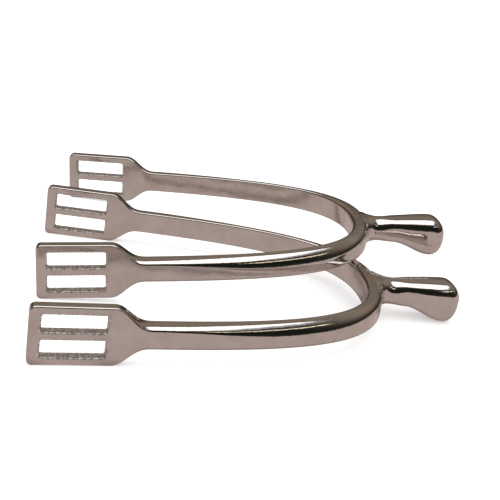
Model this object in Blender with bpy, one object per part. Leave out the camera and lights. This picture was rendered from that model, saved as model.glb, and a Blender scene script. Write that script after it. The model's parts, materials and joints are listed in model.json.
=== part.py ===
"""A pair of English riding spurs in polished stainless steel.

Each spur is a forged heel band, the yoke, with a slotted strap plate at each
open end, and a short drop-knob neck whose spigot is let into the heel.
The front spur stands level on its plates and its knob. The rear spur stands
on its plates and leans its heel on the front one, and it lifts straight off.

Spur axes: +X from the plates to the heel, +Y to the spur's left, +Z up, with
the origin midway between the middle bars of the two strap plates.
Units are metres.
"""

import math

import bmesh
import bpy
from mathutils import Matrix, Vector
from mathutils.bvhtree import BVHTree

MM = 0.001

# Strap plates
SLOT_LENGTH = 16.0 * MM
SLOT_HEIGHT = 4.7 * MM
MIDDLE_BAR = 2.15 * MM
OUTER_BAR = 2.2 * MM
END_BAR = 2.9 * MM
SHOULDER_BAR = 1.4 * MM
PLATE_THICKNESS = 3.0 * MM
PLATE_EDGE_ROUND = 0.45 * MM
PLATE_CORNER_ROUND = 1.5 * MM
PLATE_SPACING = 83.5 * MM  # between the plates' mid-planes, at the slots' middle
SPLAY = math.radians(5.9)  # each branch turns in this much towards the heel

# Branches and heel of the yoke
SHOULDER_LENGTH = 10.0 * MM  # from the full plate height down to the band
BRANCH_HEIGHT = 6.6 * MM
BRANCH_THICKNESS = 4.3 * MM
HEEL_HEIGHT = 7.9 * MM
HEEL_THICKNESS = 5.0 * MM
HEEL_REACH = 85.7 * MM  # slots' middle to the middle of the heel's thickness
BRANCH_RUN = 46.0 * MM  # how far the branch keeps its direction
HEEL_RUN = 26.0 * MM  # how far the heel keeps square to the neck
HEEL_BEGINS = 0.45  # share of the branch after which it flattens into the heel
SHOULDER_BIAS = 0.75  # under 1, so that the shoulder falls early and then eases out
SHOULDER_CURL = 0.6  # 0 is a plain slope, and 1 draws the slope into the middle
BRANCH_CROWN = 3.2 * MM  # how far in the rounded outer top edge reaches
BRANCH_CROWN_DROP = 4.3 * MM  # how far down it reaches
SHOULDER_CROWN = 2.6 * MM  # how far in it reaches where the branch leaves its shoulder
SHOULDER_CROWN_DROP = 1.3 * MM
CROWN_GROWN = 0.33  # share of the branch by which they are full
BRANCH_FOOT_ROUND = 1.6 * MM
BRANCH_INNER_ROUND = 0.45 * MM
HEEL_OUTER_ROUND = 1.7 * MM
HEEL_INNER_BEVEL = 1.5 * MM

# Neck, knob and the joint between neck and heel
NECK_DIAMETER = 8.0 * MM
NECK_LENGTH = 26.0 * MM  # heel's outer face to the knob's tip
NECK_FLARE = 3.6 * MM
KNOB_WIDTH = 10.8 * MM
KNOB_TOP = 4.9 * MM
KNOB_TIP_DROP = 1.7 * MM
KNOB_START = 4.5 * MM  # heel's outer face to where the knob begins to swell
KNOB_FOOT_START = 9.0 * MM  # heel's outer face to where its underside begins to drop
KNOB_TOP_ROUND = 5.4 * MM
KNOB_FOOT_ROUND = 4.4 * MM
KNOB_SQUARENESS = 2.8  # 2 is round, and more squares up the sides
SPIGOT_DIAMETER = 5.0 * MM
SPIGOT_LENGTH = 2.8 * MM
SPIGOT_CLEARANCE = 0.3 * MM
SEAT_GAP = 0.3 * MM

# How the rear spur lies against the front one
REAR_OFFSET = (2.9 * MM, 36.0 * MM)
REAR_TURN = math.radians(-4.4)
LEAN_GAP = 0.3 * MM
STEEPEST_LEAN = math.radians(30.0)

# How finely the curved surfaces are divided
CORNER_STEPS = 4
SHOULDER_STEPS = 8
BRANCH_STEPS = 13
NECK_SIDES = 24
NECK_STEPS = 12
TIP_STEPS = 6
LEAN_STEPS = 30
FLARE_STEPS = 4
TIP_LEFT = 0.5  # of a step, so that the knob ends in a small flat
HEADING_STEP = 1e-3
SHARP_EDGE = math.radians(40)

POLISHED_TONE = (0.72, 0.68, 0.65)
POLISHED_ROUGHNESS = 0.08
ROUND = 2.0

PLATE_HEIGHT = MIDDLE_BAR + 2 * SLOT_HEIGHT + 2 * OUTER_BAR
PLATE_START = -(SLOT_LENGTH / 2 + END_BAR)
PLATE_END = SLOT_LENGTH / 2 + SHOULDER_BAR
BAND_START = PLATE_END + SHOULDER_LENGTH
HEEL_FACE = HEEL_REACH + HEEL_THICKNESS / 2
KNOB_BOTTOM = PLATE_HEIGHT / 2  # the knob's underside is level with the plates


def clear_scene():
    for obj in list(bpy.data.objects):
        bpy.data.objects.remove(obj, do_unlink=True)


def smooth(value):
    value = min(max(value, 0.0), 1.0)
    return value * value * (3 - 2 * value)


def mix(first, second, share):
    return first + (second - first) * share


def steel(name, tone, roughness):
    material = bpy.data.materials.new(name)
    material.use_nodes = True
    shader = material.node_tree.nodes["Principled BSDF"]
    shader.inputs["Base Color"].default_value = (*tone, 1.0)
    shader.inputs["Metallic"].default_value = 1.0
    shader.inputs["Roughness"].default_value = roughness
    return material


def new_object(name, bm, material):
    bmesh.ops.recalc_face_normals(bm, faces=bm.faces)
    mesh = bpy.data.meshes.new(name)
    bm.to_mesh(mesh)
    bm.free()
    obj = bpy.data.objects.new(name, mesh)
    bpy.context.scene.collection.objects.link(obj)
    if material:
        mesh.materials.append(material)
    return obj


def loft(rings):
    """A closed skin over rings of equal point counts, capped at both ends."""
    bm = bmesh.new()
    loops = [[bm.verts.new(point) for point in ring] for ring in rings]
    count = len(rings[0])
    for near, far in zip(loops, loops[1:]):
        for k in range(count):
            after = (k + 1) % count
            bm.faces.new((near[k], near[after], far[after], far[k]))
    bm.faces.new(loops[0][::-1])
    bm.faces.new(loops[-1])
    return bm


# The yoke


def branch_point(share):
    """Middle line of the left branch, from the shoulder's end (0) to the heel (1)."""
    start_y = PLATE_SPACING / 2 - BAND_START * math.tan(SPLAY)
    start = Vector((BAND_START, start_y, 0))
    leave = start + Vector((math.cos(SPLAY), -math.sin(SPLAY), 0)) * BRANCH_RUN
    heel = Vector((HEEL_REACH, 0, 0))
    arrive = heel + Vector((0, HEEL_RUN, 0))
    rest = 1 - share
    return (
        start * rest**3
        + leave * 3 * rest**2 * share
        + arrive * 3 * rest * share**2
        + heel * share**3
    )


def branch_heading(share):
    before = branch_point(max(share - HEADING_STEP, 0.0))
    after = branch_point(min(share + HEADING_STEP, 1.0))
    return (after - before).normalized()


def band_section(height, thickness, crown, crown_drop, foot, inner):
    """One ring as (outward, up) pairs: a flat inner face and a rounded outer top edge."""
    corners = (
        (1, 1, crown, crown_drop),
        (-1, 1, inner, inner),
        (-1, -1, inner, inner),
        (1, -1, foot, foot),
    )
    ring = []
    for index, (side, level, wide, tall) in enumerate(corners):
        for step in range(CORNER_STEPS):
            angle = math.pi / 2 * (index + step / (CORNER_STEPS - 1))
            out = side * (thickness / 2 - wide) + wide * math.cos(angle)
            up = level * (height / 2 - tall) + tall * math.sin(angle)
            ring.append((out, up))
    return ring


def half_yoke_rings():
    """Rings of the left half, from the open end of its plate to the heel's middle."""
    ahead = Vector((math.cos(SPLAY), -math.sin(SPLAY), 0))
    middle = Vector((0, PLATE_SPACING / 2, 0))
    stations = []

    def on_plate(distance, height, thickness, crown, crown_drop, foot, inner):
        along = distance / math.cos(SPLAY)
        section = band_section(height, thickness, crown, crown_drop, foot, inner)
        stations.append((middle + ahead * along, ahead, section))

    edge = PLATE_EDGE_ROUND
    for step in range(CORNER_STEPS):
        angle = math.pi / 2 * step / (CORNER_STEPS - 1)
        distance = PLATE_START + PLATE_CORNER_ROUND * (1 - math.cos(angle))
        height = PLATE_HEIGHT - 2 * PLATE_CORNER_ROUND * (1 - math.sin(angle))
        on_plate(distance, height, PLATE_THICKNESS, edge, edge, edge, edge)
    for step in range(SHOULDER_STEPS + 1):
        share = step / SHOULDER_STEPS
        curled = mix(share, smooth(share), SHOULDER_CURL)
        fall = smooth(curled**SHOULDER_BIAS)
        on_plate(
            mix(PLATE_END, BAND_START, share),
            mix(PLATE_HEIGHT, BRANCH_HEIGHT, fall),
            mix(PLATE_THICKNESS, BRANCH_THICKNESS, fall),
            mix(edge, SHOULDER_CROWN, fall),
            mix(edge, SHOULDER_CROWN_DROP, fall),
            mix(edge, BRANCH_FOOT_ROUND, fall),
            mix(edge, BRANCH_INNER_ROUND, fall),
        )
    for step in range(1, BRANCH_STEPS + 1):
        share = step / BRANCH_STEPS
        near_heel = smooth((share - HEEL_BEGINS) / (1 - HEEL_BEGINS))
        grown = smooth(share / CROWN_GROWN)
        section = band_section(
            mix(BRANCH_HEIGHT, HEEL_HEIGHT, share),
            mix(BRANCH_THICKNESS, HEEL_THICKNESS, near_heel),
            mix(mix(SHOULDER_CROWN, BRANCH_CROWN, grown), HEEL_OUTER_ROUND, near_heel),
            mix(mix(SHOULDER_CROWN_DROP, BRANCH_CROWN_DROP, grown), HEEL_OUTER_ROUND, near_heel),
            mix(BRANCH_FOOT_ROUND, HEEL_OUTER_ROUND, near_heel),
            mix(BRANCH_INNER_ROUND, HEEL_INNER_BEVEL, near_heel),
        )
        stations.append((branch_point(share), branch_heading(share), section))

    rings = []
    for place, heading, section in stations:
        outward = Vector((-heading.y, heading.x, 0))
        rings.append([place + outward * out + Vector((0, 0, up)) for out, up in section])
    return rings


def mirrored(ring):
    return [Vector((point.x, -point.y, point.z)) for point in ring]


def box_cutter(name, centre, size, turn):
    bm = bmesh.new()
    bmesh.ops.create_cube(bm, size=1.0)
    place = Matrix.Translation(centre) @ Matrix.Rotation(turn, 4, "Z")
    bmesh.ops.transform(bm, matrix=place @ Matrix.Diagonal((*size, 1)), verts=bm.verts)
    return new_object(name, bm, None)


def socket_cutter(name):
    depth = SPIGOT_LENGTH + SPIGOT_CLEARANCE
    radius = SPIGOT_DIAMETER / 2 + SPIGOT_CLEARANCE
    bm = bmesh.new()
    bmesh.ops.create_cone(
        bm, cap_ends=True, segments=NECK_SIDES, radius1=radius, radius2=radius, depth=2 * depth
    )
    # Half a side of turn keeps the socket's corners off the yoke's middle edge.
    turn = Matrix.Rotation(math.pi / 2, 4, "Y") @ Matrix.Rotation(math.pi / NECK_SIDES, 4, "Z")
    place = Matrix.Translation((HEEL_FACE, 0, 0)) @ turn
    bmesh.ops.transform(bm, matrix=place, verts=bm.verts)
    return new_object(name, bm, None)


def cut(obj, cutter):
    cutter.hide_render = True
    cutter.display_type = "WIRE"
    cutter.parent = obj
    modifier = obj.modifiers.new(cutter.name, "BOOLEAN")
    modifier.operation = "DIFFERENCE"
    modifier.solver = "EXACT"
    modifier.object = cutter


def make_yoke(name, material):
    left = half_yoke_rings()
    right = [mirrored(ring) for ring in left[-2::-1]]
    yoke = new_object(name, loft(left + right), material)
    slot_size = (SLOT_LENGTH, 3 * PLATE_THICKNESS, SLOT_HEIGHT)
    for side, side_name in ((1, "left"), (-1, "right")):
        for level, level_name in ((1, "upper"), (-1, "lower")):
            height = level * (MIDDLE_BAR + SLOT_HEIGHT) / 2
            centre = (0, side * PLATE_SPACING / 2, height)
            cutter_name = f"{name}_{side_name}_{level_name}_slot"
            cut(yoke, box_cutter(cutter_name, centre, slot_size, -side * SPLAY))
    cut(yoke, socket_cutter(f"{name}_socket"))
    yoke.data.shade_smooth()
    yoke.data.set_sharp_from_angle(angle=SHARP_EDGE)
    return yoke


# The neck with its knob


def neck_ring(x, half_width, top, bottom, squareness=ROUND):
    """A round-topped ring, whose lower half squares up as squareness grows past 2."""
    shoulder = top - min(half_width, (top - bottom) / 2)
    ring = []
    for k in range(NECK_SIDES):
        angle = 2 * math.pi * k / NECK_SIDES
        across = math.copysign(abs(math.cos(angle)) ** (2 / squareness), math.cos(angle))
        along = math.copysign(abs(math.sin(angle)) ** (2 / squareness), math.sin(angle))
        reach = top - shoulder if along > 0 else shoulder - bottom
        ring.append(Vector((x, half_width * across, shoulder + reach * along)))
    return ring


def heel_drop(y):
    """How far the heel's outer face has curved away from its middle at y."""
    # A cubic curve's end radius is 3/2 of its handle squared over the next handle's offset.
    offset = HEEL_REACH - BAND_START - BRANCH_RUN * math.cos(SPLAY)
    radius = 3 / 2 * HEEL_RUN**2 / offset + HEEL_THICKNESS / 2
    return radius - math.sqrt(radius**2 - y**2)


def neck_sizes(x):
    """Half width, top and bottom of the neck at x past the heel's face, before its tip."""
    grown = smooth((x - KNOB_START) / (NECK_LENGTH - KNOB_TOP_ROUND - KNOB_START))
    foot_span = NECK_LENGTH - KNOB_FOOT_ROUND - KNOB_FOOT_START
    dropped = smooth((x - KNOB_FOOT_START) / foot_span)
    half_width = mix(NECK_DIAMETER / 2, KNOB_WIDTH / 2, grown)
    top = mix(NECK_DIAMETER / 2, KNOB_TOP, grown)
    bottom = mix(-NECK_DIAMETER / 2, -KNOB_BOTTOM, dropped)
    return half_width, top, bottom


def tip_share(x, length):
    """How much of the full size is left where a rounded end of this length closes at x."""
    past = (x - (NECK_LENGTH - length)) / length
    return math.sqrt(max(1 - max(past, 0.0) ** 2, 0.0))


def make_neck(name, material):
    spigot_radius = SPIGOT_DIAMETER / 2
    start = HEEL_FACE + SEAT_GAP
    rings = [
        neck_ring(start - SPIGOT_LENGTH, spigot_radius, spigot_radius, -spigot_radius),
        neck_ring(start, spigot_radius, spigot_radius, -spigot_radius),
    ]
    flare_end = NECK_FLARE
    body_end = NECK_LENGTH - KNOB_TOP_ROUND
    quarter = math.pi / 2
    places = [flare_end * (1 - math.cos(quarter * k / FLARE_STEPS)) for k in range(FLARE_STEPS)]
    places += [mix(flare_end, body_end, k / NECK_STEPS) for k in range(NECK_STEPS)]
    for k in range(TIP_STEPS + 1):
        places.append(body_end + KNOB_TOP_ROUND * math.sin(quarter * k / (TIP_STEPS + TIP_LEFT)))
    for x in places:
        half_width, top, bottom = neck_sizes(x)
        ahead = max(flare_end - x, 0.0)
        half_width += NECK_FLARE - math.sqrt(NECK_FLARE**2 - ahead**2)
        top = -KNOB_TIP_DROP + (top + KNOB_TIP_DROP) * tip_share(x, KNOB_TOP_ROUND)
        bottom = -KNOB_TIP_DROP + (bottom + KNOB_TIP_DROP) * tip_share(x, KNOB_FOOT_ROUND)
        half_width *= tip_share(x, KNOB_FOOT_ROUND)
        squareness = mix(ROUND, KNOB_SQUARENESS, smooth((x - KNOB_START) / KNOB_START))
        ring = neck_ring(HEEL_FACE + x, half_width, top, bottom, squareness)
        for point in ring:
            point.x += SEAT_GAP * (1 - x / NECK_LENGTH)
            point.x -= heel_drop(point.y) * max(1 - x / KNOB_START, 0.0)
        rings.append(ring)
    neck = new_object(name, loft(rings), material)
    neck.data.shade_smooth()
    neck.data.set_sharp_from_angle(angle=SHARP_EDGE)
    return neck


# The pair


def make_spur(name, material):
    frame = bpy.data.objects.new(name, None)
    bpy.context.scene.collection.objects.link(frame)
    parts = [make_yoke(f"{name}_yoke", material), make_neck(f"{name}_neck", material)]
    for part in parts:
        part.parent = frame
    return frame, parts


def shape_of(obj):
    """Points and faces of an object as its modifiers leave it, in its own axes."""
    graph = bpy.context.evaluated_depsgraph_get()
    evaluated = obj.evaluated_get(graph)
    mesh = evaluated.to_mesh()
    points = [vertex.co.copy() for vertex in mesh.vertices]
    faces = [tuple(face.vertices) for face in mesh.polygons]
    evaluated.to_mesh_clear()
    return points, faces


def finer(points, faces):
    """The points of a shape and the middles of its faces and edges."""
    found = list(points)
    for face in faces:
        corners = [points[k] for k in face]
        found.append(sum(corners, Vector()) / len(corners))
        found += [(a + b) / 2 for a, b in zip(corners, corners[1:] + corners[:1])]
    return found


def leaning(lean, lowest_of):
    """Place of the rear spur when its heel is raised by this angle, on the ground."""
    turn = Matrix.Rotation(REAR_TURN, 4, "Z") @ Matrix.Rotation(-lean, 4, "Y")
    lowest = min((turn @ point).z for point in lowest_of)
    return Matrix.Translation((*REAR_OFFSET, -lowest)) @ turn


def lean_until_clear(front_shapes, rear_shapes, front_place):
    """The least lean at which the rear spur keeps LEAN_GAP to the front one."""
    trees = [
        BVHTree.FromPolygons([front_place @ p for p in points], faces)
        for points, faces in front_shapes
    ]
    standing = [p for points, _ in rear_shapes for p in points]

    def clear_at(lean):
        place = leaning(lean, standing)
        for points, faces in rear_shapes:
            moved = [place @ p for p in points]
            own = BVHTree.FromPolygons(moved, faces)
            for tree, (front_points, front_faces) in zip(trees, front_shapes):
                if tree.overlap(own):
                    return False
                probes = [place @ p for p in finer(points, faces)]
                if any(tree.find_nearest(p, LEAN_GAP)[0] for p in probes):
                    return False
                probes = [front_place @ p for p in finer(front_points, front_faces)]
                if any(own.find_nearest(p, LEAN_GAP)[0] for p in probes):
                    return False
        return True

    low, high = 0.0, STEEPEST_LEAN
    for _ in range(LEAN_STEPS):
        middle = (low + high) / 2
        if clear_at(middle):
            high = middle
        else:
            low = middle
    return leaning(high, standing)


def centre_on_ground(frames, shapes):
    """Moves both spurs together until their bounding box is centred on the Z axis."""
    corners = [
        frame.matrix_basis @ p for frame, group in shapes for points, _ in group for p in points
    ]
    middle_x = (min(p.x for p in corners) + max(p.x for p in corners)) / 2
    middle_y = (min(p.y for p in corners) + max(p.y for p in corners)) / 2
    for frame in frames:
        frame.location.x -= middle_x
        frame.location.y -= middle_y


def main():
    clear_scene()
    polished = steel("polished_stainless", POLISHED_TONE, POLISHED_ROUGHNESS)
    front, front_parts = make_spur("front_spur", polished)
    rear, rear_parts = make_spur("rear_spur", polished)
    bpy.context.view_layer.update()
    front_shapes = [shape_of(part) for part in front_parts]
    rear_shapes = [shape_of(part) for part in rear_parts]
    front_place = Matrix.Translation((0, 0, PLATE_HEIGHT / 2))
    front.matrix_basis = front_place
    rear.matrix_basis = lean_until_clear(front_shapes, rear_shapes, front_place)
    centre_on_ground((front, rear), ((front, front_shapes), (rear, rear_shapes)))


main()
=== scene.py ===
"""Looks of a pair of English riding spurs in polished stainless steel.

Each spur is a cast and polished heel band with a slotted strap plate at each
open end, and a drop-knob neck brazed to the heel. One spur leans on the other.

Spur axes: +X from the plates to the heel, +Y to the spur's left, +Z up, with
the origin midway between the middle bars of the two strap plates. The scene is
in metres.
"""

import json
import math

import bmesh
import bpy
from mathutils import Matrix, Vector
from mathutils.kdtree import KDTree


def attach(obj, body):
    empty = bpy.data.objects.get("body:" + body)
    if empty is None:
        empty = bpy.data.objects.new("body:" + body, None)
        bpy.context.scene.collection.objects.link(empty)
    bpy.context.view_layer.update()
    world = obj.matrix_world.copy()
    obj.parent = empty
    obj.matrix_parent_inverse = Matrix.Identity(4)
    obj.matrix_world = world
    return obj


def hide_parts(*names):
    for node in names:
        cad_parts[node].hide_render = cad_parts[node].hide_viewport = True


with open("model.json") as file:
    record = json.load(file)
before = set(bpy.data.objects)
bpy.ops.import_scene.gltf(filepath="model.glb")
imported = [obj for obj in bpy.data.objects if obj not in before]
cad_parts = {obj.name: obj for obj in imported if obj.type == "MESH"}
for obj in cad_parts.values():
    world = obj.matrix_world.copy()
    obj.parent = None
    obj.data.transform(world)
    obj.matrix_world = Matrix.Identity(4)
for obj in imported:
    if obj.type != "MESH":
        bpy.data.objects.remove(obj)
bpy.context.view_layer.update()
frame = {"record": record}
record = frame["record"]

MM = 0.001

# Strap plates
SLOT_LENGTH = 16.0 * MM
SLOT_HEIGHT = 4.7 * MM
MIDDLE_BAR = 2.15 * MM
OUTER_BAR = 2.2 * MM
END_BAR = 2.9 * MM
SHOULDER_BAR = 1.4 * MM
PLATE_THICKNESS = 3.0 * MM
PLATE_EDGE = 0.45 * MM
PLATE_CORNER = 1.5 * MM
PLATE_SPACING = 83.5 * MM
SPLAY = math.radians(5.9)
SLOT_MOUTH = 0.42 * MM  # rounding where a slot meets the plate's face
SLOT_MOUTH_OUTSIDE = 1.6  # how far the hollow flares past the face, in mouth roundings
SLOT_CORNER = 0.55 * MM

# Branches and heel
SHOULDER_LENGTH = 10.0 * MM
BRANCH_HEIGHT = 6.6 * MM
BRANCH_THICKNESS = 4.3 * MM
HEEL_HEIGHT = 7.9 * MM
HEEL_THICKNESS = 5.0 * MM
HEEL_REACH = 85.7 * MM
BRANCH_RUN = 46.0 * MM
HEEL_RUN = 26.0 * MM
HEEL_BEGINS = 0.45
SHOULDER_BIAS = 0.75
SHOULDER_CURL = 0.6
CROWN_IN = 3.2 * MM
CROWN_DROP = 4.3 * MM
SHOULDER_CROWN_IN = 2.6 * MM
SHOULDER_CROWN_DROP = 1.3 * MM
CROWN_GROWN = 0.33
FOOT_ROUND = 1.6 * MM
INNER_ROUND = 0.45 * MM
HEEL_OUTER = 1.7 * MM
HEEL_INNER = 1.5 * MM

# Neck and knob
NECK_DIAMETER = 8.0 * MM
NECK_LENGTH = 26.0 * MM
NECK_FLARE = 3.6 * MM
NECK_INSET = 1.9 * MM  # how far the braze runs back over the heel's edge
NECK_EASE = 0.85  # share of the step between the neck's and the heel's height it takes up
KNOB_WIDTH = 10.8 * MM
KNOB_TOP = 4.9 * MM
KNOB_TIP_DROP = 1.7 * MM
KNOB_START = 4.5 * MM
KNOB_FOOT_START = 9.0 * MM
KNOB_TOP_ROUND = 5.4 * MM
KNOB_FOOT_ROUND = 4.4 * MM
KNOB_SQUARENESS = 2.8  # 2 is round, and more squares up the sides
ROOT_SQUARENESS = 1.4  # added where the neck meets the heel
ROUND = 2.0

# How finely the curved surfaces are divided
CORNER_STEPS = 10
SHOULDER_STEPS = 26
BRANCH_STEPS = 60
NECK_SIDES = 72
NECK_STEPS = 46
TIP_STEPS = 22
FLARE_STEPS = 10
INSET_STEPS = 4
TIP_LEFT = 0.25  # of a step, so that the knob ends in a small flat
MOUTH_STEPS = 6
SLOT_CORNER_STEPS = 5
HEADING_STEP = 1e-3
SHARP_EDGE = math.radians(42)
FLAT_FACE_WEIGHT = 90

PLATE_HEIGHT = MIDDLE_BAR + 2 * SLOT_HEIGHT + 2 * OUTER_BAR
PLATE_START = -(SLOT_LENGTH / 2 + END_BAR)
PLATE_END = SLOT_LENGTH / 2 + SHOULDER_BAR
BAND_START = PLATE_END + SHOULDER_LENGTH
HEEL_FACE = HEEL_REACH + HEEL_THICKNESS / 2
KNOB_BOTTOM = PLATE_HEIGHT / 2


def smooth(value):
    value = min(max(value, 0.0), 1.0)
    return value * value * (3 - 2 * value)


def mix(first, second, share):
    return first + (second - first) * share


# Where each spur lies, read from its two strap-plate mounts


def spur_place(name):
    """The matrix from a spur's own axes to the scene."""
    mounts = {mount["name"]: mount for mount in record["mounts"]}
    left = mounts[f"{name}_left_strap_plate"]
    right = mounts[f"{name}_right_strap_plate"]
    left_at, right_at = Vector(left["pos_m"]), Vector(right["pos_m"])
    middle = (left_at + right_at) / 2
    side = (left_at - right_at).normalized()
    ahead = Vector(left["axis"]) + Vector(right["axis"])
    ahead = (ahead - side * ahead.dot(side)).normalized()
    up = ahead.cross(side)
    # Each mount lies on a plate's outer face, ahead of the slots' middle by this much.
    reach = PLATE_THICKNESS / 2 * math.sin(SPLAY)
    origin = middle - ahead * reach
    place = Matrix((ahead, side, up)).transposed().to_4x4()
    place.translation = origin
    return place


# Geometry nodes, written as sums


class Field:
    """A value that a node tree works out for each point, with the usual arithmetic."""

    def __init__(self, tree, socket):
        self.tree = tree
        self.socket = socket

    def math(self, operation, *others):
        node = self.tree.nodes.new("ShaderNodeMath")
        node.operation = operation
        for k, value in enumerate((self, *others)):
            if isinstance(value, Field):
                self.tree.links.new(value.socket, node.inputs[k])
            else:
                node.inputs[k].default_value = value
        return Field(self.tree, node.outputs[0])

    def __add__(self, other):
        return self.math("ADD", other)

    def __sub__(self, other):
        return self.math("SUBTRACT", other)

    def __mul__(self, other):
        return self.math("MULTIPLY", other)

    def __truediv__(self, other):
        return self.math("DIVIDE", other)


def new_tree(name, inputs):
    """An empty geometry tree with named inputs, and its group input and output nodes."""
    tree = bpy.data.node_groups.new(name, "GeometryNodeTree")
    tree.interface.new_socket("Geometry", in_out="INPUT", socket_type="NodeSocketGeometry")
    for label, kind in inputs:
        tree.interface.new_socket(label, in_out="INPUT", socket_type=kind)
    tree.interface.new_socket("Geometry", in_out="OUTPUT", socket_type="NodeSocketGeometry")
    return tree, tree.nodes.new("NodeGroupInput"), tree.nodes.new("NodeGroupOutput")


def run_tree(tree, base, name, values):
    """The plain mesh that a tree makes from a base mesh with these named values."""
    holder = bpy.data.objects.new(f"{name}_making", base)
    bpy.context.scene.collection.objects.link(holder)
    modifier = holder.modifiers.new(tree.name, "NODES")
    modifier.node_group = tree
    for socket in tree.interface.items_tree:
        if socket.in_out == "INPUT" and socket.name in values:
            modifier[socket.identifier] = values[socket.name]
    bpy.context.view_layer.update()
    graph = bpy.context.evaluated_depsgraph_get()
    mesh = bpy.data.meshes.new_from_object(holder.evaluated_get(graph), depsgraph=graph)
    holder.modifiers.remove(modifier)
    bpy.data.objects.remove(holder)
    mesh.name = name
    return mesh


def finish_tree(tree, geometry, group_input, group_output):
    """Ends a tree in a weld, Realize Instances and Set Material."""
    weld = tree.nodes.new("GeometryNodeMergeByDistance")
    weld.inputs["Distance"].default_value = 1e-6
    realise = tree.nodes.new("GeometryNodeRealizeInstances")
    shade = tree.nodes.new("GeometryNodeSetShadeSmooth")
    paint = tree.nodes.new("GeometryNodeSetMaterial")
    tree.links.new(geometry, realise.inputs["Geometry"])
    tree.links.new(realise.outputs["Geometry"], weld.inputs["Geometry"])
    tree.links.new(weld.outputs["Geometry"], shade.inputs["Geometry"])
    tree.links.new(shade.outputs["Geometry"], paint.inputs["Geometry"])
    tree.links.new(group_input.outputs["Finish"], paint.inputs["Material"])
    tree.links.new(paint.outputs["Geometry"], group_output.inputs["Geometry"])


def swept_grid(tree, group_input, stations):
    """A grid with one row of points a station, and the share round the row as a field."""
    grid = tree.nodes.new("GeometryNodeMeshGrid")
    grid.inputs["Size X"].default_value = 1.0
    grid.inputs["Size Y"].default_value = 1.0
    grid.inputs["Vertices X"].default_value = stations
    tree.links.new(group_input.outputs["Points round"], grid.inputs["Vertices Y"])
    position = tree.nodes.new("GeometryNodeInputPosition")
    split = tree.nodes.new("ShaderNodeSeparateXYZ")
    tree.links.new(position.outputs[0], split.inputs[0])
    along = Field(tree, split.outputs["X"]) + 0.5
    round_row = Field(tree, split.outputs["Y"]) + 0.5
    station = (along * (stations - 1)).math("ROUND")
    return grid, station, round_row


def sampled(tree, group_input, station, attribute, kind="FLOAT"):
    """A station's own value, read from the base mesh's attribute."""
    named = tree.nodes.new("GeometryNodeInputNamedAttribute")
    named.data_type = kind
    named.inputs["Name"].default_value = attribute
    sample = tree.nodes.new("GeometryNodeSampleIndex")
    sample.data_type = kind
    sample.domain = "POINT"
    tree.links.new(group_input.outputs["Geometry"], sample.inputs["Geometry"])
    source = next(o for o in named.outputs if o.enabled and o.name == "Attribute")
    tree.links.new(source, sample.inputs["Value"])
    tree.links.new(station.socket, sample.inputs["Index"])
    return Field(tree, next(o for o in sample.outputs if o.enabled))


def placed_grid(tree, grid, x, y, z):
    combine = tree.nodes.new("ShaderNodeCombineXYZ")
    for value, socket in zip((x, y, z), combine.inputs):
        tree.links.new(value.socket, socket)
    move = tree.nodes.new("GeometryNodeSetPosition")
    tree.links.new(grid.outputs["Mesh"], move.inputs["Geometry"])
    tree.links.new(combine.outputs[0], move.inputs["Position"])
    return move.outputs["Geometry"]


def station_mesh(name, stations):
    """A mesh of loose points, one a station, that carries each station's sizes."""
    mesh = bpy.data.meshes.new(name)
    mesh.from_pydata([(0, 0, 0)] * len(stations), [], [])
    for key in stations[0]:
        attribute = mesh.attributes.new(key, "FLOAT", "POINT")
        attribute.data.foreach_set("value", [station[key] for station in stations])
    return mesh


# The heel band


def branch_point(share):
    """Middle line of the left branch, from the shoulder's end (0) to the heel (1)."""
    start_y = PLATE_SPACING / 2 - BAND_START * math.tan(SPLAY)
    start = Vector((BAND_START, start_y, 0))
    leave = start + Vector((math.cos(SPLAY), -math.sin(SPLAY), 0)) * BRANCH_RUN
    heel = Vector((HEEL_REACH, 0, 0))
    arrive = heel + Vector((0, HEEL_RUN, 0))
    rest = 1 - share
    return (
        start * rest**3
        + leave * 3 * rest**2 * share
        + arrive * 3 * rest * share**2
        + heel * share**3
    )


def branch_heading(share):
    before = branch_point(max(share - HEADING_STEP, 0.0))
    after = branch_point(min(share + HEADING_STEP, 1.0))
    return (after - before).normalized()


def band_station(place, heading, height, thickness, crown, drop, foot, inner):
    return {
        "x": place.x,
        "y": place.y,
        "out_x": -heading.y,
        "out_y": heading.x,
        "height": height,
        "thickness": thickness,
        "crown": crown,
        "drop": drop,
        "foot": foot,
        "inner": inner,
    }


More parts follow.
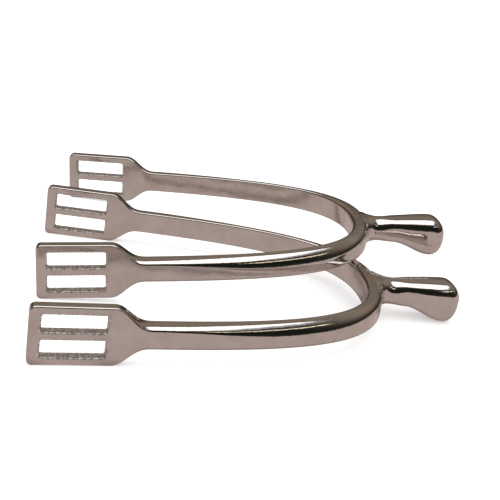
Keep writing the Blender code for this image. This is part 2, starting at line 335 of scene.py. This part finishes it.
def band_stations():
    """Sizes and places of the band's sections, from the left plate's end to the right's."""
    ahead = Vector((math.cos(SPLAY), -math.sin(SPLAY), 0))
    middle = Vector((0, PLATE_SPACING / 2, 0))
    left = []

    def on_plate(distance, *sizes):
        place = middle + ahead * (distance / math.cos(SPLAY))
        left.append(band_station(place, ahead, *sizes))

    edge = PLATE_EDGE
    for step in range(CORNER_STEPS):
        angle = math.pi / 2 * step / (CORNER_STEPS - 1)
        distance = PLATE_START + PLATE_CORNER * (1 - math.cos(angle))
        height = PLATE_HEIGHT - 2 * PLATE_CORNER * (1 - math.sin(angle))
        # The plate's end edge is rounded off like its long edges.
        tuck = edge * (1 - math.sin(math.acos(max(1 - (distance - PLATE_START) / edge, 0))))
        on_plate(distance, height - tuck / 2, PLATE_THICKNESS - 2 * tuck, *([edge - tuck / 2] * 4))
    for step in range(SHOULDER_STEPS + 1):
        share = step / SHOULDER_STEPS
        fall = smooth(mix(share, smooth(share), SHOULDER_CURL) ** SHOULDER_BIAS)
        on_plate(
            mix(PLATE_END, BAND_START, share),
            mix(PLATE_HEIGHT, BRANCH_HEIGHT, fall),
            mix(PLATE_THICKNESS, BRANCH_THICKNESS, fall),
            mix(edge, SHOULDER_CROWN_IN, fall),
            mix(edge, SHOULDER_CROWN_DROP, fall),
            mix(edge, FOOT_ROUND, fall),
            mix(edge, INNER_ROUND, fall),
        )
    for step in range(1, BRANCH_STEPS + 1):
        share = step / BRANCH_STEPS
        near_heel = smooth((share - HEEL_BEGINS) / (1 - HEEL_BEGINS))
        grown = smooth(share / CROWN_GROWN)
        left.append(
            band_station(
                branch_point(share),
                branch_heading(share),
                mix(BRANCH_HEIGHT, HEEL_HEIGHT, share),
                mix(BRANCH_THICKNESS, HEEL_THICKNESS, near_heel),
                mix(mix(SHOULDER_CROWN_IN, CROWN_IN, grown), HEEL_OUTER, near_heel),
                mix(mix(SHOULDER_CROWN_DROP, CROWN_DROP, grown), HEEL_OUTER, near_heel),
                mix(FOOT_ROUND, HEEL_OUTER, near_heel),
                mix(INNER_ROUND, HEEL_INNER, near_heel),
            )
        )
    right = [{**station, "y": -station["y"], "out_y": -station["out_y"]} for station in left]
    return left + right[-2::-1]


def band_tree(stations):
    """Sweeps a band section with four rounded corners through the stations."""
    tree, given, result = new_tree(
        "Heel band", (("Points round", "NodeSocketInt"), ("Finish", "NodeSocketMaterial"))
    )
    grid, station, round_row = swept_grid(tree, given, stations)

    def size(name):
        return sampled(tree, given, station, name)

    points = Field(tree, given.outputs["Points round"]) - 1
    per_corner = points / 4
    index = (round_row * points).math("ROUND").math("MODULO", points)
    corner = (index / per_corner).math("FLOOR")
    inside = index - corner * per_corner
    angle = (corner + inside / (per_corner - 1)) * (math.pi / 2)
    outer = corner.math("COMPARE", 1.5, 0.6).math("MULTIPLY", -1.0) + 1.0
    side = outer * 2.0 - 1.0
    upper = corner.math("LESS_THAN", 1.5)
    level = upper * 2.0 - 1.0
    crown = outer * upper
    foot = outer * (upper * -1.0 + 1.0)
    within = outer * -1.0 + 1.0
    inner = size("inner") * within
    wide = size("crown") * crown + size("foot") * foot + inner
    tall = size("drop") * crown + size("foot") * foot + inner
    out = side * (size("thickness") / 2 - wide) + wide * angle.math("COSINE")
    up = level * (size("height") / 2 - tall) + tall * angle.math("SINE")
    x = size("x") + size("out_x") * out
    y = size("y") + size("out_y") * out
    finish_tree(tree, placed_grid(tree, grid, x, y, up), given, result)
    return tree


# The strap slots


def slot_cutter_mesh():
    """A slot's hollow: a box with rounded corners whose two mouths flare out."""
    half_depth = PLATE_THICKNESS / 2
    sections = []
    for step in range(MOUTH_STEPS):
        angle = math.pi / 2 * step / (MOUTH_STEPS - 1)
        depth = half_depth - SLOT_MOUTH * (1 - math.sin(angle))
        sections.append((depth, SLOT_MOUTH * (1 - math.cos(angle))))
    sections.append((2 * PLATE_THICKNESS, SLOT_MOUTH_OUTSIDE * SLOT_MOUTH))
    profile = [(-depth, grow) for depth, grow in reversed(sections)] + sections
    corners = ((1, 1), (-1, 1), (-1, -1), (1, -1))
    bm = bmesh.new()
    loops = []
    for depth, grow in profile:
        loop = []
        radius = SLOT_CORNER + grow
        for corner, (side_x, side_z) in enumerate(corners):
            middle_x = side_x * (SLOT_LENGTH / 2 - SLOT_CORNER)
            middle_z = side_z * (SLOT_HEIGHT / 2 - SLOT_CORNER)
            for step in range(SLOT_CORNER_STEPS):
                angle = math.pi / 2 * (corner + step / (SLOT_CORNER_STEPS - 1))
                x = middle_x + radius * math.cos(angle)
                z = middle_z + radius * math.sin(angle)
                loop.append(bm.verts.new((x, depth, z)))
        loops.append(loop)
    for near, far in zip(loops, loops[1:]):
        for k in range(len(near)):
            after = (k + 1) % len(near)
            bm.faces.new((near[k], near[after], far[after], far[k]))
    bm.faces.new(loops[0][::-1])
    bm.faces.new(loops[-1])
    bmesh.ops.recalc_face_normals(bm, faces=bm.faces)
    mesh = bpy.data.meshes.new("slot_hollow")
    bm.to_mesh(mesh)
    bm.free()
    return mesh


def slots_tree(hollow):
    """Sets a hollow on each slot's place, turned with its plate."""
    tree, given, result = new_tree(
        "Strap slots",
        (
            ("Plate spacing", "NodeSocketFloat"),
            ("Slot pitch", "NodeSocketFloat"),
            ("Splay", "NodeSocketFloat"),
            ("Finish", "NodeSocketMaterial"),
        ),
    )
    grid = tree.nodes.new("GeometryNodeMeshGrid")
    for label in ("Vertices X", "Vertices Y"):
        grid.inputs[label].default_value = 2
    grid.inputs["Size X"].default_value = 1.0
    grid.inputs["Size Y"].default_value = 1.0
    position = tree.nodes.new("GeometryNodeInputPosition")
    split = tree.nodes.new("ShaderNodeSeparateXYZ")
    tree.links.new(position.outputs[0], split.inputs[0])
    across = Field(tree, split.outputs["X"])
    level = Field(tree, split.outputs["Y"])
    combine = tree.nodes.new("ShaderNodeCombineXYZ")
    spacing = Field(tree, given.outputs["Plate spacing"])
    pitch = Field(tree, given.outputs["Slot pitch"])
    tree.links.new((across * spacing).socket, combine.inputs["Y"])
    tree.links.new((level * pitch).socket, combine.inputs["Z"])
    move = tree.nodes.new("GeometryNodeSetPosition")
    tree.links.new(grid.outputs["Mesh"], move.inputs["Geometry"])
    tree.links.new(combine.outputs[0], move.inputs["Position"])
    shape = tree.nodes.new("GeometryNodeObjectInfo")
    shape.inputs["Object"].default_value = hollow
    on_points = tree.nodes.new("GeometryNodeInstanceOnPoints")
    turn = tree.nodes.new("ShaderNodeCombineXYZ")
    splay = Field(tree, given.outputs["Splay"])
    # After the points have moved, their Y says which plate they are on.
    moved = tree.nodes.new("GeometryNodeInputPosition")
    moved_split = tree.nodes.new("ShaderNodeSeparateXYZ")
    tree.links.new(moved.outputs[0], moved_split.inputs[0])
    side = Field(tree, moved_split.outputs["Y"]).math("SIGN")
    tree.links.new((side * splay * -1.0).socket, turn.inputs["Z"])
    tree.links.new(move.outputs["Geometry"], on_points.inputs["Points"])
    tree.links.new(shape.outputs["Geometry"], on_points.inputs["Instance"])
    tree.links.new(turn.outputs[0], on_points.inputs["Rotation"])
    finish_tree(tree, on_points.outputs["Instances"], given, result)
    return tree


# The neck with its knob


def tip_share(x, length):
    past = (x - (NECK_LENGTH - length)) / length
    return math.sqrt(max(1 - max(past, 0.0) ** 2, 0.0))


def neck_stations():
    """Sizes of the neck's sections, from under the heel's edge to the knob's tip."""
    body_end = NECK_LENGTH - KNOB_TOP_ROUND
    quarter = math.pi / 2
    places = [-NECK_INSET * (1 - k / INSET_STEPS) for k in range(INSET_STEPS)]
    places += [NECK_FLARE * (1 - math.cos(quarter * k / FLARE_STEPS)) for k in range(FLARE_STEPS)]
    places += [mix(NECK_FLARE, body_end, k / NECK_STEPS) for k in range(NECK_STEPS)]
    for k in range(TIP_STEPS + 1):
        places.append(body_end + KNOB_TOP_ROUND * math.sin(quarter * k / (TIP_STEPS + TIP_LEFT)))
    stations = []
    for x in places:
        grown = smooth((x - KNOB_START) / (NECK_LENGTH - KNOB_TOP_ROUND - KNOB_START))
        foot_span = NECK_LENGTH - KNOB_FOOT_ROUND - KNOB_FOOT_START
        dropped = smooth((x - KNOB_FOOT_START) / foot_span)
        half_width = mix(NECK_DIAMETER / 2, KNOB_WIDTH / 2, grown)
        top = mix(NECK_DIAMETER / 2, KNOB_TOP, grown)
        bottom = mix(-NECK_DIAMETER / 2, -KNOB_BOTTOM, dropped)
        ahead = min(max(NECK_FLARE - x, 0.0), NECK_FLARE)
        flare = NECK_FLARE - math.sqrt(NECK_FLARE**2 - ahead**2)
        half_width += flare
        # The root eases down to the heel's own height.
        ease = smooth(1 - x / NECK_FLARE) * (NECK_DIAMETER - HEEL_HEIGHT) / 2 * NECK_EASE
        top -= ease
        bottom += ease
        top = -KNOB_TIP_DROP + (top + KNOB_TIP_DROP) * tip_share(x, KNOB_TOP_ROUND)
        bottom = -KNOB_TIP_DROP + (bottom + KNOB_TIP_DROP) * tip_share(x, KNOB_FOOT_ROUND)
        half_width *= tip_share(x, KNOB_FOOT_ROUND)
        squareness = mix(ROUND, KNOB_SQUARENESS, smooth((x - KNOB_START) / KNOB_START))
        squareness += ROOT_SQUARENESS * smooth(1 - x / NECK_FLARE)
        stations.append(
            {
                "along": HEEL_FACE + x,
                "half_width": half_width,
                "top": top,
                "bottom": bottom,
                "power": 2 / squareness,
                "follow": max(1 - x / KNOB_START, 0.0),
            }
        )
    return stations


def neck_tree(stations):
    """Sweeps a round-topped section through the stations and beds its root on the heel."""
    tree, given, result = new_tree(
        "Drop-knob neck",
        (
            ("Points round", "NodeSocketInt"),
            ("Heel radius", "NodeSocketFloat"),
            ("Finish", "NodeSocketMaterial"),
        ),
    )
    grid, station, round_row = swept_grid(tree, given, stations)

    def size(name):
        return sampled(tree, given, station, name)

    angle = round_row * (2 * math.pi)
    cosine, sine = angle.math("COSINE"), angle.math("SINE")
    power = size("power")
    across = cosine.math("ABSOLUTE").math("POWER", power) * cosine.math("SIGN")
    rising = sine.math("ABSOLUTE").math("POWER", power) * sine.math("SIGN")
    half_width, top, bottom = size("half_width"), size("top"), size("bottom")
    shoulder = top - half_width.math("MINIMUM", (top - bottom) / 2)
    is_upper = sine.math("GREATER_THAN", 0.0)
    reach = is_upper * (top - shoulder) + (is_upper * -1.0 + 1.0) * (shoulder - bottom)
    y = half_width * across
    radius = Field(tree, given.outputs["Heel radius"])
    drop = radius - (radius * radius - y * y).math("SQRT")
    x = size("along") - drop * size("follow")
    z = shoulder + rising * reach
    finish_tree(tree, placed_grid(tree, grid, x, y, z), given, result)
    return tree


# Meshes from the trees


def closed(mesh):
    """Fills a swept mesh's two open ends and points its faces outwards."""
    bm = bmesh.new()
    bm.from_mesh(mesh)
    bmesh.ops.remove_doubles(bm, verts=bm.verts, dist=1e-7)
    bmesh.ops.holes_fill(bm, edges=[edge for edge in bm.edges if edge.is_boundary])
    bmesh.ops.recalc_face_normals(bm, faces=bm.faces)
    for face in bm.faces:
        face.smooth = True
    bm.to_mesh(mesh)
    bm.free()
    return mesh


def new_piece(name, mesh):
    piece = bpy.data.objects.new(name, mesh)
    bpy.context.scene.collection.objects.link(piece)
    return piece


def plain_mesh(piece):
    """The mesh that a piece's modifiers leave, with the modifiers gone."""
    bpy.context.view_layer.update()
    graph = bpy.context.evaluated_depsgraph_get()
    mesh = bpy.data.meshes.new_from_object(piece.evaluated_get(graph), depsgraph=graph)
    piece.modifiers.clear()
    piece.data = mesh
    return piece


def make_band(name, finish, slot_finish):
    stations = band_stations()
    mesh = run_tree(
        band_tree(len(stations)),
        station_mesh(f"{name}_stations", stations),
        name,
        {"Points round": 4 * CORNER_STEPS + 1, "Finish": finish},
    )
    band = new_piece(name, closed(mesh))
    hollow = new_piece("slot_hollow", slot_cutter_mesh())
    cutter_mesh = run_tree(
        slots_tree(hollow),
        bpy.data.meshes.new("slot_places"),
        f"{name}_slots",
        {
            "Plate spacing": PLATE_SPACING,
            "Slot pitch": MIDDLE_BAR + SLOT_HEIGHT,
            "Splay": SPLAY,
            "Finish": slot_finish,
        },
    )
    cutter = new_piece(f"{name}_slots", cutter_mesh)
    cut = band.modifiers.new("slots", "BOOLEAN")
    cut.operation = "DIFFERENCE"
    cut.solver = "EXACT"
    cut.material_mode = "TRANSFER"
    cut.object = cutter
    plain_mesh(band)
    for helper in (cutter, hollow):
        bpy.data.objects.remove(helper)
    return band


def make_neck(name, finish):
    stations = neck_stations()
    offset = HEEL_REACH - BAND_START - BRANCH_RUN * math.cos(SPLAY)
    mesh = run_tree(
        neck_tree(len(stations)),
        station_mesh(f"{name}_stations", stations),
        name,
        {
            "Points round": NECK_SIDES + 1,
            "Heel radius": 3 / 2 * HEEL_RUN**2 / offset + HEEL_THICKNESS / 2,
            "Finish": finish,
        },
    )
    return new_piece(name, closed(mesh))


def even_shading(piece):
    """Lets the broad flat faces set the shading next to them."""
    for face in piece.data.polygons:
        face.use_smooth = True
    weigh = piece.modifiers.new("even", "WEIGHTED_NORMAL")
    weigh.mode = "FACE_AREA_WITH_ANGLE"
    weigh.weight = FLAT_FACE_WEIGHT
    weigh.keep_sharp = True
    piece.data.set_sharp_from_angle(angle=SHARP_EDGE)
    return plain_mesh(piece)


# Finishes


def noise(tree, vector, scale, detail, roughness=0.5):
    made = tree.nodes.new("ShaderNodeTexNoise")
    made.inputs["Scale"].default_value = scale
    made.inputs["Detail"].default_value = detail
    made.inputs["Roughness"].default_value = roughness
    tree.links.new(vector, made.inputs["Vector"])
    return made.outputs["Fac"]


def ramp(tree, value, stops):
    made = tree.nodes.new("ShaderNodeValToRGB")
    elements = made.color_ramp.elements
    while len(elements) < len(stops):
        elements.new(0.5)
    for element, (place, tone) in zip(elements, stops):
        element.position = place
        element.color = (*tone, 1.0)
    tree.links.new(value, made.inputs["Fac"])
    return made.outputs["Color"]


def range_of(tree, value, low, high, out_low, out_high):
    made = tree.nodes.new("ShaderNodeMapRange")
    for label, number in (
        ("From Min", low),
        ("From Max", high),
        ("To Min", out_low),
        ("To Max", out_high),
    ):
        made.inputs[label].default_value = number
    tree.links.new(value, made.inputs["Value"])
    return made.outputs["Result"]


def stretched(tree, source, scale, turn=(0, 0, 0)):
    mapping = tree.nodes.new("ShaderNodeMapping")
    mapping.inputs["Scale"].default_value = scale
    mapping.inputs["Rotation"].default_value = turn
    tree.links.new(source, mapping.inputs["Vector"])
    return mapping.outputs["Vector"]


def bump(tree, height, distance, strength=1.0, below=None):
    made = tree.nodes.new("ShaderNodeBump")
    made.inputs["Distance"].default_value = distance
    made.inputs["Strength"].default_value = strength
    tree.links.new(height, made.inputs["Height"])
    if below:
        tree.links.new(below, made.inputs["Normal"])
    return made.outputs["Normal"]


def steel_base(name):
    material = bpy.data.materials.new(name)
    material.use_nodes = True
    tree = material.node_tree
    shader = tree.nodes["Principled BSDF"]
    shader.inputs["Metallic"].default_value = 1.0
    coordinates = tree.nodes.new("ShaderNodeTexCoord")
    return material, tree, shader, coordinates.outputs["Object"]


def polished_steel(name):
    """Buffed stainless: slow ripples, buffing lines, hairline scratches, uneven gloss."""
    material, tree, shader, place = steel_base(name)
    cloud = noise(tree, place, 170.0, 4.0, 0.6)
    tone = ramp(tree, cloud, ((0.32, (0.665, 0.615, 0.585)), (0.68, (0.765, 0.72, 0.69))))
    tree.links.new(tone, shader.inputs["Base Color"])
    smear = noise(tree, stretched(tree, place, (0.35, 1.0, 1.0)), 420.0, 4.0, 0.6)
    gloss = range_of(tree, smear, 0.3, 0.75, 0.04, 0.15)
    tree.links.new(gloss, shader.inputs["Roughness"])
    ripple = bump(tree, noise(tree, place, 150.0, 1.5), 0.00009)
    lines = noise(tree, stretched(tree, place, (0.04, 1.0, 1.0)), 5200.0, 2.0)
    scratched = bump(tree, lines, 0.000004, 1.0, ripple)
    hairs = noise(tree, stretched(tree, place, (1.0, 0.05, 0.6), (0.3, 0.2, 0.7)), 2600.0, 1.0)
    fine = bump(tree, range_of(tree, hairs, 0.66, 0.7, 0.0, 1.0), 0.000006, 0.6, scratched)
    peel = noise(tree, place, 900.0, 2.0)
    final = bump(tree, peel, 0.000008, 1.0, fine)
    tree.links.new(final, shader.inputs["Normal"])
    return material


def cast_steel(name):
    """The unpolished walls of the slots: a bright, grainy casting skin."""
    material, tree, shader, place = steel_base(name)
    grain = noise(tree, place, 1300.0, 3.0, 0.65)
    tone = ramp(tree, grain, ((0.40, (0.36, 0.31, 0.285)), (0.66, (0.95, 0.89, 0.85))))
    shader.inputs["Metallic"].default_value = 0.85
    tree.links.new(tone, shader.inputs["Base Color"])
    tree.links.new(range_of(tree, grain, 0.3, 0.7, 0.6, 0.25), shader.inputs["Roughness"])
    lumps = bump(tree, noise(tree, place, 1100.0, 2.0), 0.0002)
    tree.links.new(bump(tree, grain, 0.00006, 1.0, lumps), shader.inputs["Normal"])
    return material


# The pair

polished = polished_steel("polished_stainless")
slot_walls = cast_steel("cast_slot_walls")

# The solids' facets lie a hair inside the true curves, so the curves come in as far.
FACET_TRIM = (0.9998, 0.9998, 0.997, 1.0)

for spur in ("front_spur", "rear_spur"):
    place = spur_place(spur)
    band = even_shading(make_band(f"{spur}_heel_band", polished, slot_walls))
    neck = make_neck(f"{spur}_drop_knob_neck", polished)
    for piece, cad_node in ((band, f"{spur}_yoke"), (neck, f"{spur}_neck")):
        piece.data.transform(place @ Matrix.Diagonal(FACET_TRIM))
        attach(piece, spur)
        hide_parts(cad_node)


# The camera's place, seen from the front spur's own axes

CAMERA_AT = Vector((-3.16, -248.83, 109.58)) * MM
CAMERA_TURN = math.radians(11.23)
CAMERA_DIP = math.radians(22.0)
CAMERA_ROLL = math.radians(9.2)


# The studio: a pale floor to look at, and cards for the steel to reflect

REACH = 3.0
TABLE_EDGE = 0.9


def flat_finish(name, tone, glow=0.0):
    material = bpy.data.materials.new(name)
    material.use_nodes = True
    shader = material.node_tree.nodes["Principled BSDF"]
    shader.inputs["Base Color"].default_value = (*tone, 1.0)
    shader.inputs["Roughness"].default_value = 1.0
    shader.inputs["Specular IOR Level"].default_value = 0.0
    if glow:
        shader.inputs["Base Color"].default_value = (0, 0, 0, 1)
        shader.inputs["Emission Color"].default_value = (*tone, 1.0)
        shader.inputs["Emission Strength"].default_value = glow
    return material


def reflected(piece):
    """Stages a piece that only the steel sees."""
    piece.visible_camera = False
    piece.visible_diffuse = False
    piece.visible_shadow = False
    return piece


def card(name, corners, material, only_reflected=True):
    mesh = bpy.data.meshes.new(name)
    mesh.from_pydata(corners, [], [tuple(range(len(corners)))])
    mesh.materials.append(material)
    piece = new_piece(name, mesh)
    if only_reflected:
        return reflected(piece)
    return piece


def towards(direction):
    """The unit vector to an azimuth from the front and an elevation, in degrees."""
    azimuth, elevation = (math.radians(angle) for angle in direction)
    return Vector(
        (
            math.sin(azimuth) * math.cos(elevation),
            -math.cos(azimuth) * math.cos(elevation),
            math.sin(elevation),
        )
    )


def facing_card(name, direction, distance, width, height, material):
    """A card square to the middle of the scene, that far off in that direction."""
    out = towards(direction)
    azimuth = math.radians(direction[0])
    side = Vector((math.cos(azimuth), math.sin(azimuth), 0))
    up = out.cross(side)
    middle = out * distance
    corners = [
        middle + side * (width / 2 * sx) + up * (height / 2 * sy)
        for sx, sy in ((-1, -1), (1, -1), (1, 1), (-1, 1))
    ]
    return card(name, corners, material)


def square(half, z):
    return [(-half, -half, z), (half, -half, z), (half, half, z), (-half, half, z)]


pale_floor = flat_finish("pale_floor", (0.80, 0.80, 0.80))
floor_shader = pale_floor.node_tree.nodes["Principled BSDF"]
floor_shader.inputs["Emission Color"].default_value = (1, 1, 1, 1)
floor_shader.inputs["Emission Strength"].default_value = 0.38
floor = card("studio_floor", square(REACH, 0.0), pale_floor, False)
floor.visible_glossy = False
TABLE_TONE = (0.50, 0.42, 0.39)
card("reflected_table", square(TABLE_EDGE, -0.0002), flat_finish("table_tone", TABLE_TONE, 1.0))


# The room's tones by height, from the table's level to overhead: dark behind the
# camera, brown beyond the spurs.
NEAR_TONES = (
    (0.030, 0.028, 0.022),
    (0.012, 0.014, 0.011),
    (0.010, 0.013, 0.011),
    (0.014, 0.016, 0.012),
    (0.030, 0.024, 0.016),
    (0.10, 0.075, 0.052),
    (0.20, 0.16, 0.12),
    (0.22, 0.18, 0.14),
)
FAR_TONES = (
    (0.035, 0.028, 0.022),
    (0.045, 0.036, 0.028),
    (0.20, 0.163, 0.132),
    (0.27, 0.223, 0.18),
    (0.24, 0.20, 0.16),
    (0.18, 0.15, 0.12),
    (0.12, 0.10, 0.08),
    (0.09, 0.075, 0.06),
)
ROOM_RADIUS = 2.0
ROOM_SIDES = 72
ROOM_FOOT = -1.0
ROOM_TOP = 82.0


def dome(name, radius, near_tones, far_tones, sides):
    """A round room that only the steel sees, with a tone for each side and height."""
    rows = len(near_tones)
    points, faces, tones = [], [], []
    for row in range(rows):
        height = math.radians(mix(ROOM_FOOT, ROOM_TOP, row / (rows - 1)))
        for k in range(sides):
            turn = 2 * math.pi * k / sides
            points.append(
                (
                    radius * math.cos(height) * math.sin(turn + CAMERA_TURN),
                    radius * math.cos(height) * math.cos(turn + CAMERA_TURN),
                    radius * math.sin(height),
                )
            )
            beyond = smooth(math.cos(turn) * 0.9 + 0.5)
            tones.append([mix(n, f, beyond) for n, f in zip(near_tones[row], far_tones[row])])
    for row in range(rows - 1):
        for k in range(sides):
            after = (k + 1) % sides
            near, far = row * sides, (row + 1) * sides
            faces.append((near + k, far + k, far + after, near + after))
    faces.append(tuple((rows - 1) * sides + k for k in range(sides)))
    return toned_piece(name, points, faces, tones)


def toned_piece(name, points, faces, tones):
    """A glowing surface that only the steel sees, with a tone at each of its points."""
    mesh = bpy.data.meshes.new(name)
    mesh.from_pydata(points, [], faces)
    attribute = mesh.color_attributes.new("tone", "FLOAT_COLOR", "POINT")
    for k, tone in enumerate(tones):
        attribute.data[k].color = (*tone, 1.0)
    material = bpy.data.materials.new(name)
    material.use_nodes = True
    tree = material.node_tree
    shader = tree.nodes["Principled BSDF"]
    shader.inputs["Base Color"].default_value = (0, 0, 0, 1)
    shader.inputs["Specular IOR Level"].default_value = 0.0
    reader = tree.nodes.new("ShaderNodeVertexColor")
    reader.layer_name = "tone"
    tree.links.new(reader.outputs["Color"], shader.inputs["Emission Color"])
    shader.inputs["Emission Strength"].default_value = 1.0
    mesh.materials.append(material)
    return reflected(new_piece(name, mesh))


dome("reflected_room", ROOM_RADIUS, NEAR_TONES, FAR_TONES, ROOM_SIDES)

# Painted shadow: the glowing reflected table can't take the spurs' shadow, so its tone is painted
# darker under and beside them.
SHADE_HALF = 0.1
SHADE_CELLS = 100
SHADE_REACH = 6 * MM
SHADE_DEPTH = 0.45


def table_shade(name):
    """The reflected table close to the spurs, with painted shade: darker the nearer it is to their
    undersides, in place of their contact shadow.
    """
    under = []
    for spur in ("front_spur", "rear_spur"):
        place = spur_place(spur)
        under += [place @ Vector((s["x"], s["y"], 0)) for s in band_stations()[::2]]
        under += [place @ Vector((HEEL_FACE + NECK_LENGTH * k / 12, 0, 0)) for k in range(13)]
    tree = KDTree(len(under))
    for k, point in enumerate(under):
        tree.insert((point.x, point.y, 0), k)
    tree.balance()
    row = SHADE_CELLS + 1
    points, tones = [], []
    for i in range(row):
        for j in range(row):
            spot = (
                SHADE_HALF * (2 * j / SHADE_CELLS - 1),
                SHADE_HALF * (2 * i / SHADE_CELLS - 1),
                -0.0001,
            )
            away = tree.find((spot[0], spot[1], 0))[2]
            # painted shade: the table's tone falls to SHADE_DEPTH right under a spur
            share = mix(SHADE_DEPTH, 1.0, smooth(away / SHADE_REACH))
            points.append(spot)
            tones.append([tone * share for tone in TABLE_TONE])
    faces = [
        (i * row + j, i * row + j + 1, (i + 1) * row + j + 1, (i + 1) * row + j)
        for i in range(SHADE_CELLS)
        for j in range(SHADE_CELLS)
    ]
    return toned_piece(name, points, faces, tones)


table_shade("reflected_table_shade")


def overhead_card(name, height, left, right, near, far, material):
    """A level card above the spurs, with its sides square to the camera's heading."""
    turn = Matrix.Rotation(-CAMERA_TURN, 4, "Z")
    outline = ((left, -near), (right, -near), (right, far), (left, far))
    return card(name, [turn @ Vector((x, y, height)) for x, y in outline], material)


softbox_tone = flat_finish("softbox_tone", (1.0, 0.985, 0.97), 1.7)
overhead_card("overhead_softbox", 1.0, -0.75, 0.52, 0.62, 0.42, softbox_tone)
reflector_tone = flat_finish("reflector_tone", (0.42, 0.45, 0.52), 1.0)
overhead_card("cool_reflector", 1.02, 0.54, 0.72, 0.55, 0.30, reflector_tone)
lamp_tone = flat_finish("lamp_tone", (1.0, 0.86, 0.66), 1.8)
facing_card("side_lamp", (46, 37), 0.6, 0.36, 0.035, lamp_tone)


def area_light(name, direction, distance, size, power, tone):
    light = bpy.data.lights.new(name, "AREA")
    light.size = size
    light.energy = power
    light.color = tone
    out = towards(direction)
    lamp = bpy.data.objects.new(name, light)
    lamp.location = out * distance
    lamp.rotation_euler = out.to_track_quat("Z", "Y").to_euler()
    lamp.visible_glossy = False
    bpy.context.scene.collection.objects.link(lamp)
    return lamp


area_light("soft_overhead", (11, 76), 1.6, 2.4, 14.0, (1.0, 0.99, 0.97))

world = bpy.data.worlds.new("studio_air")
world.use_nodes = True
world.node_tree.nodes["Background"].inputs["Color"].default_value = (1.0, 1.0, 1.0, 1.0)
world.node_tree.nodes["Background"].inputs["Strength"].default_value = 1.0
bpy.context.scene.world = world
bpy.context.scene.view_settings.view_transform = "Standard"


# The camera

camera_data = bpy.data.cameras.new("camera")
camera_data.sensor_width = 36.0
camera_data.lens = 68.4
camera_data.shift_x = 0.0154
camera_data.shift_y = 0.0115
camera_data.clip_start = 0.01
camera = bpy.data.objects.new("camera", camera_data)
spur_origin = spur_place("front_spur").translation
ahead = Vector(
    (
        math.sin(CAMERA_TURN) * math.cos(CAMERA_DIP),
        math.cos(CAMERA_TURN) * math.cos(CAMERA_DIP),
        -math.sin(CAMERA_DIP),
    )
)
level_right = ahead.cross(Vector((0, 0, 1))).normalized()
level_up = level_right.cross(ahead)
right = level_right * math.cos(CAMERA_ROLL) + level_up * math.sin(CAMERA_ROLL)
camera_up = right.cross(ahead)
aim = Matrix((right, camera_up, -ahead)).transposed().to_4x4()
aim.translation = spur_origin + CAMERA_AT
camera.matrix_world = aim
bpy.context.scene.collection.objects.link(camera)
bpy.context.scene.camera = camera
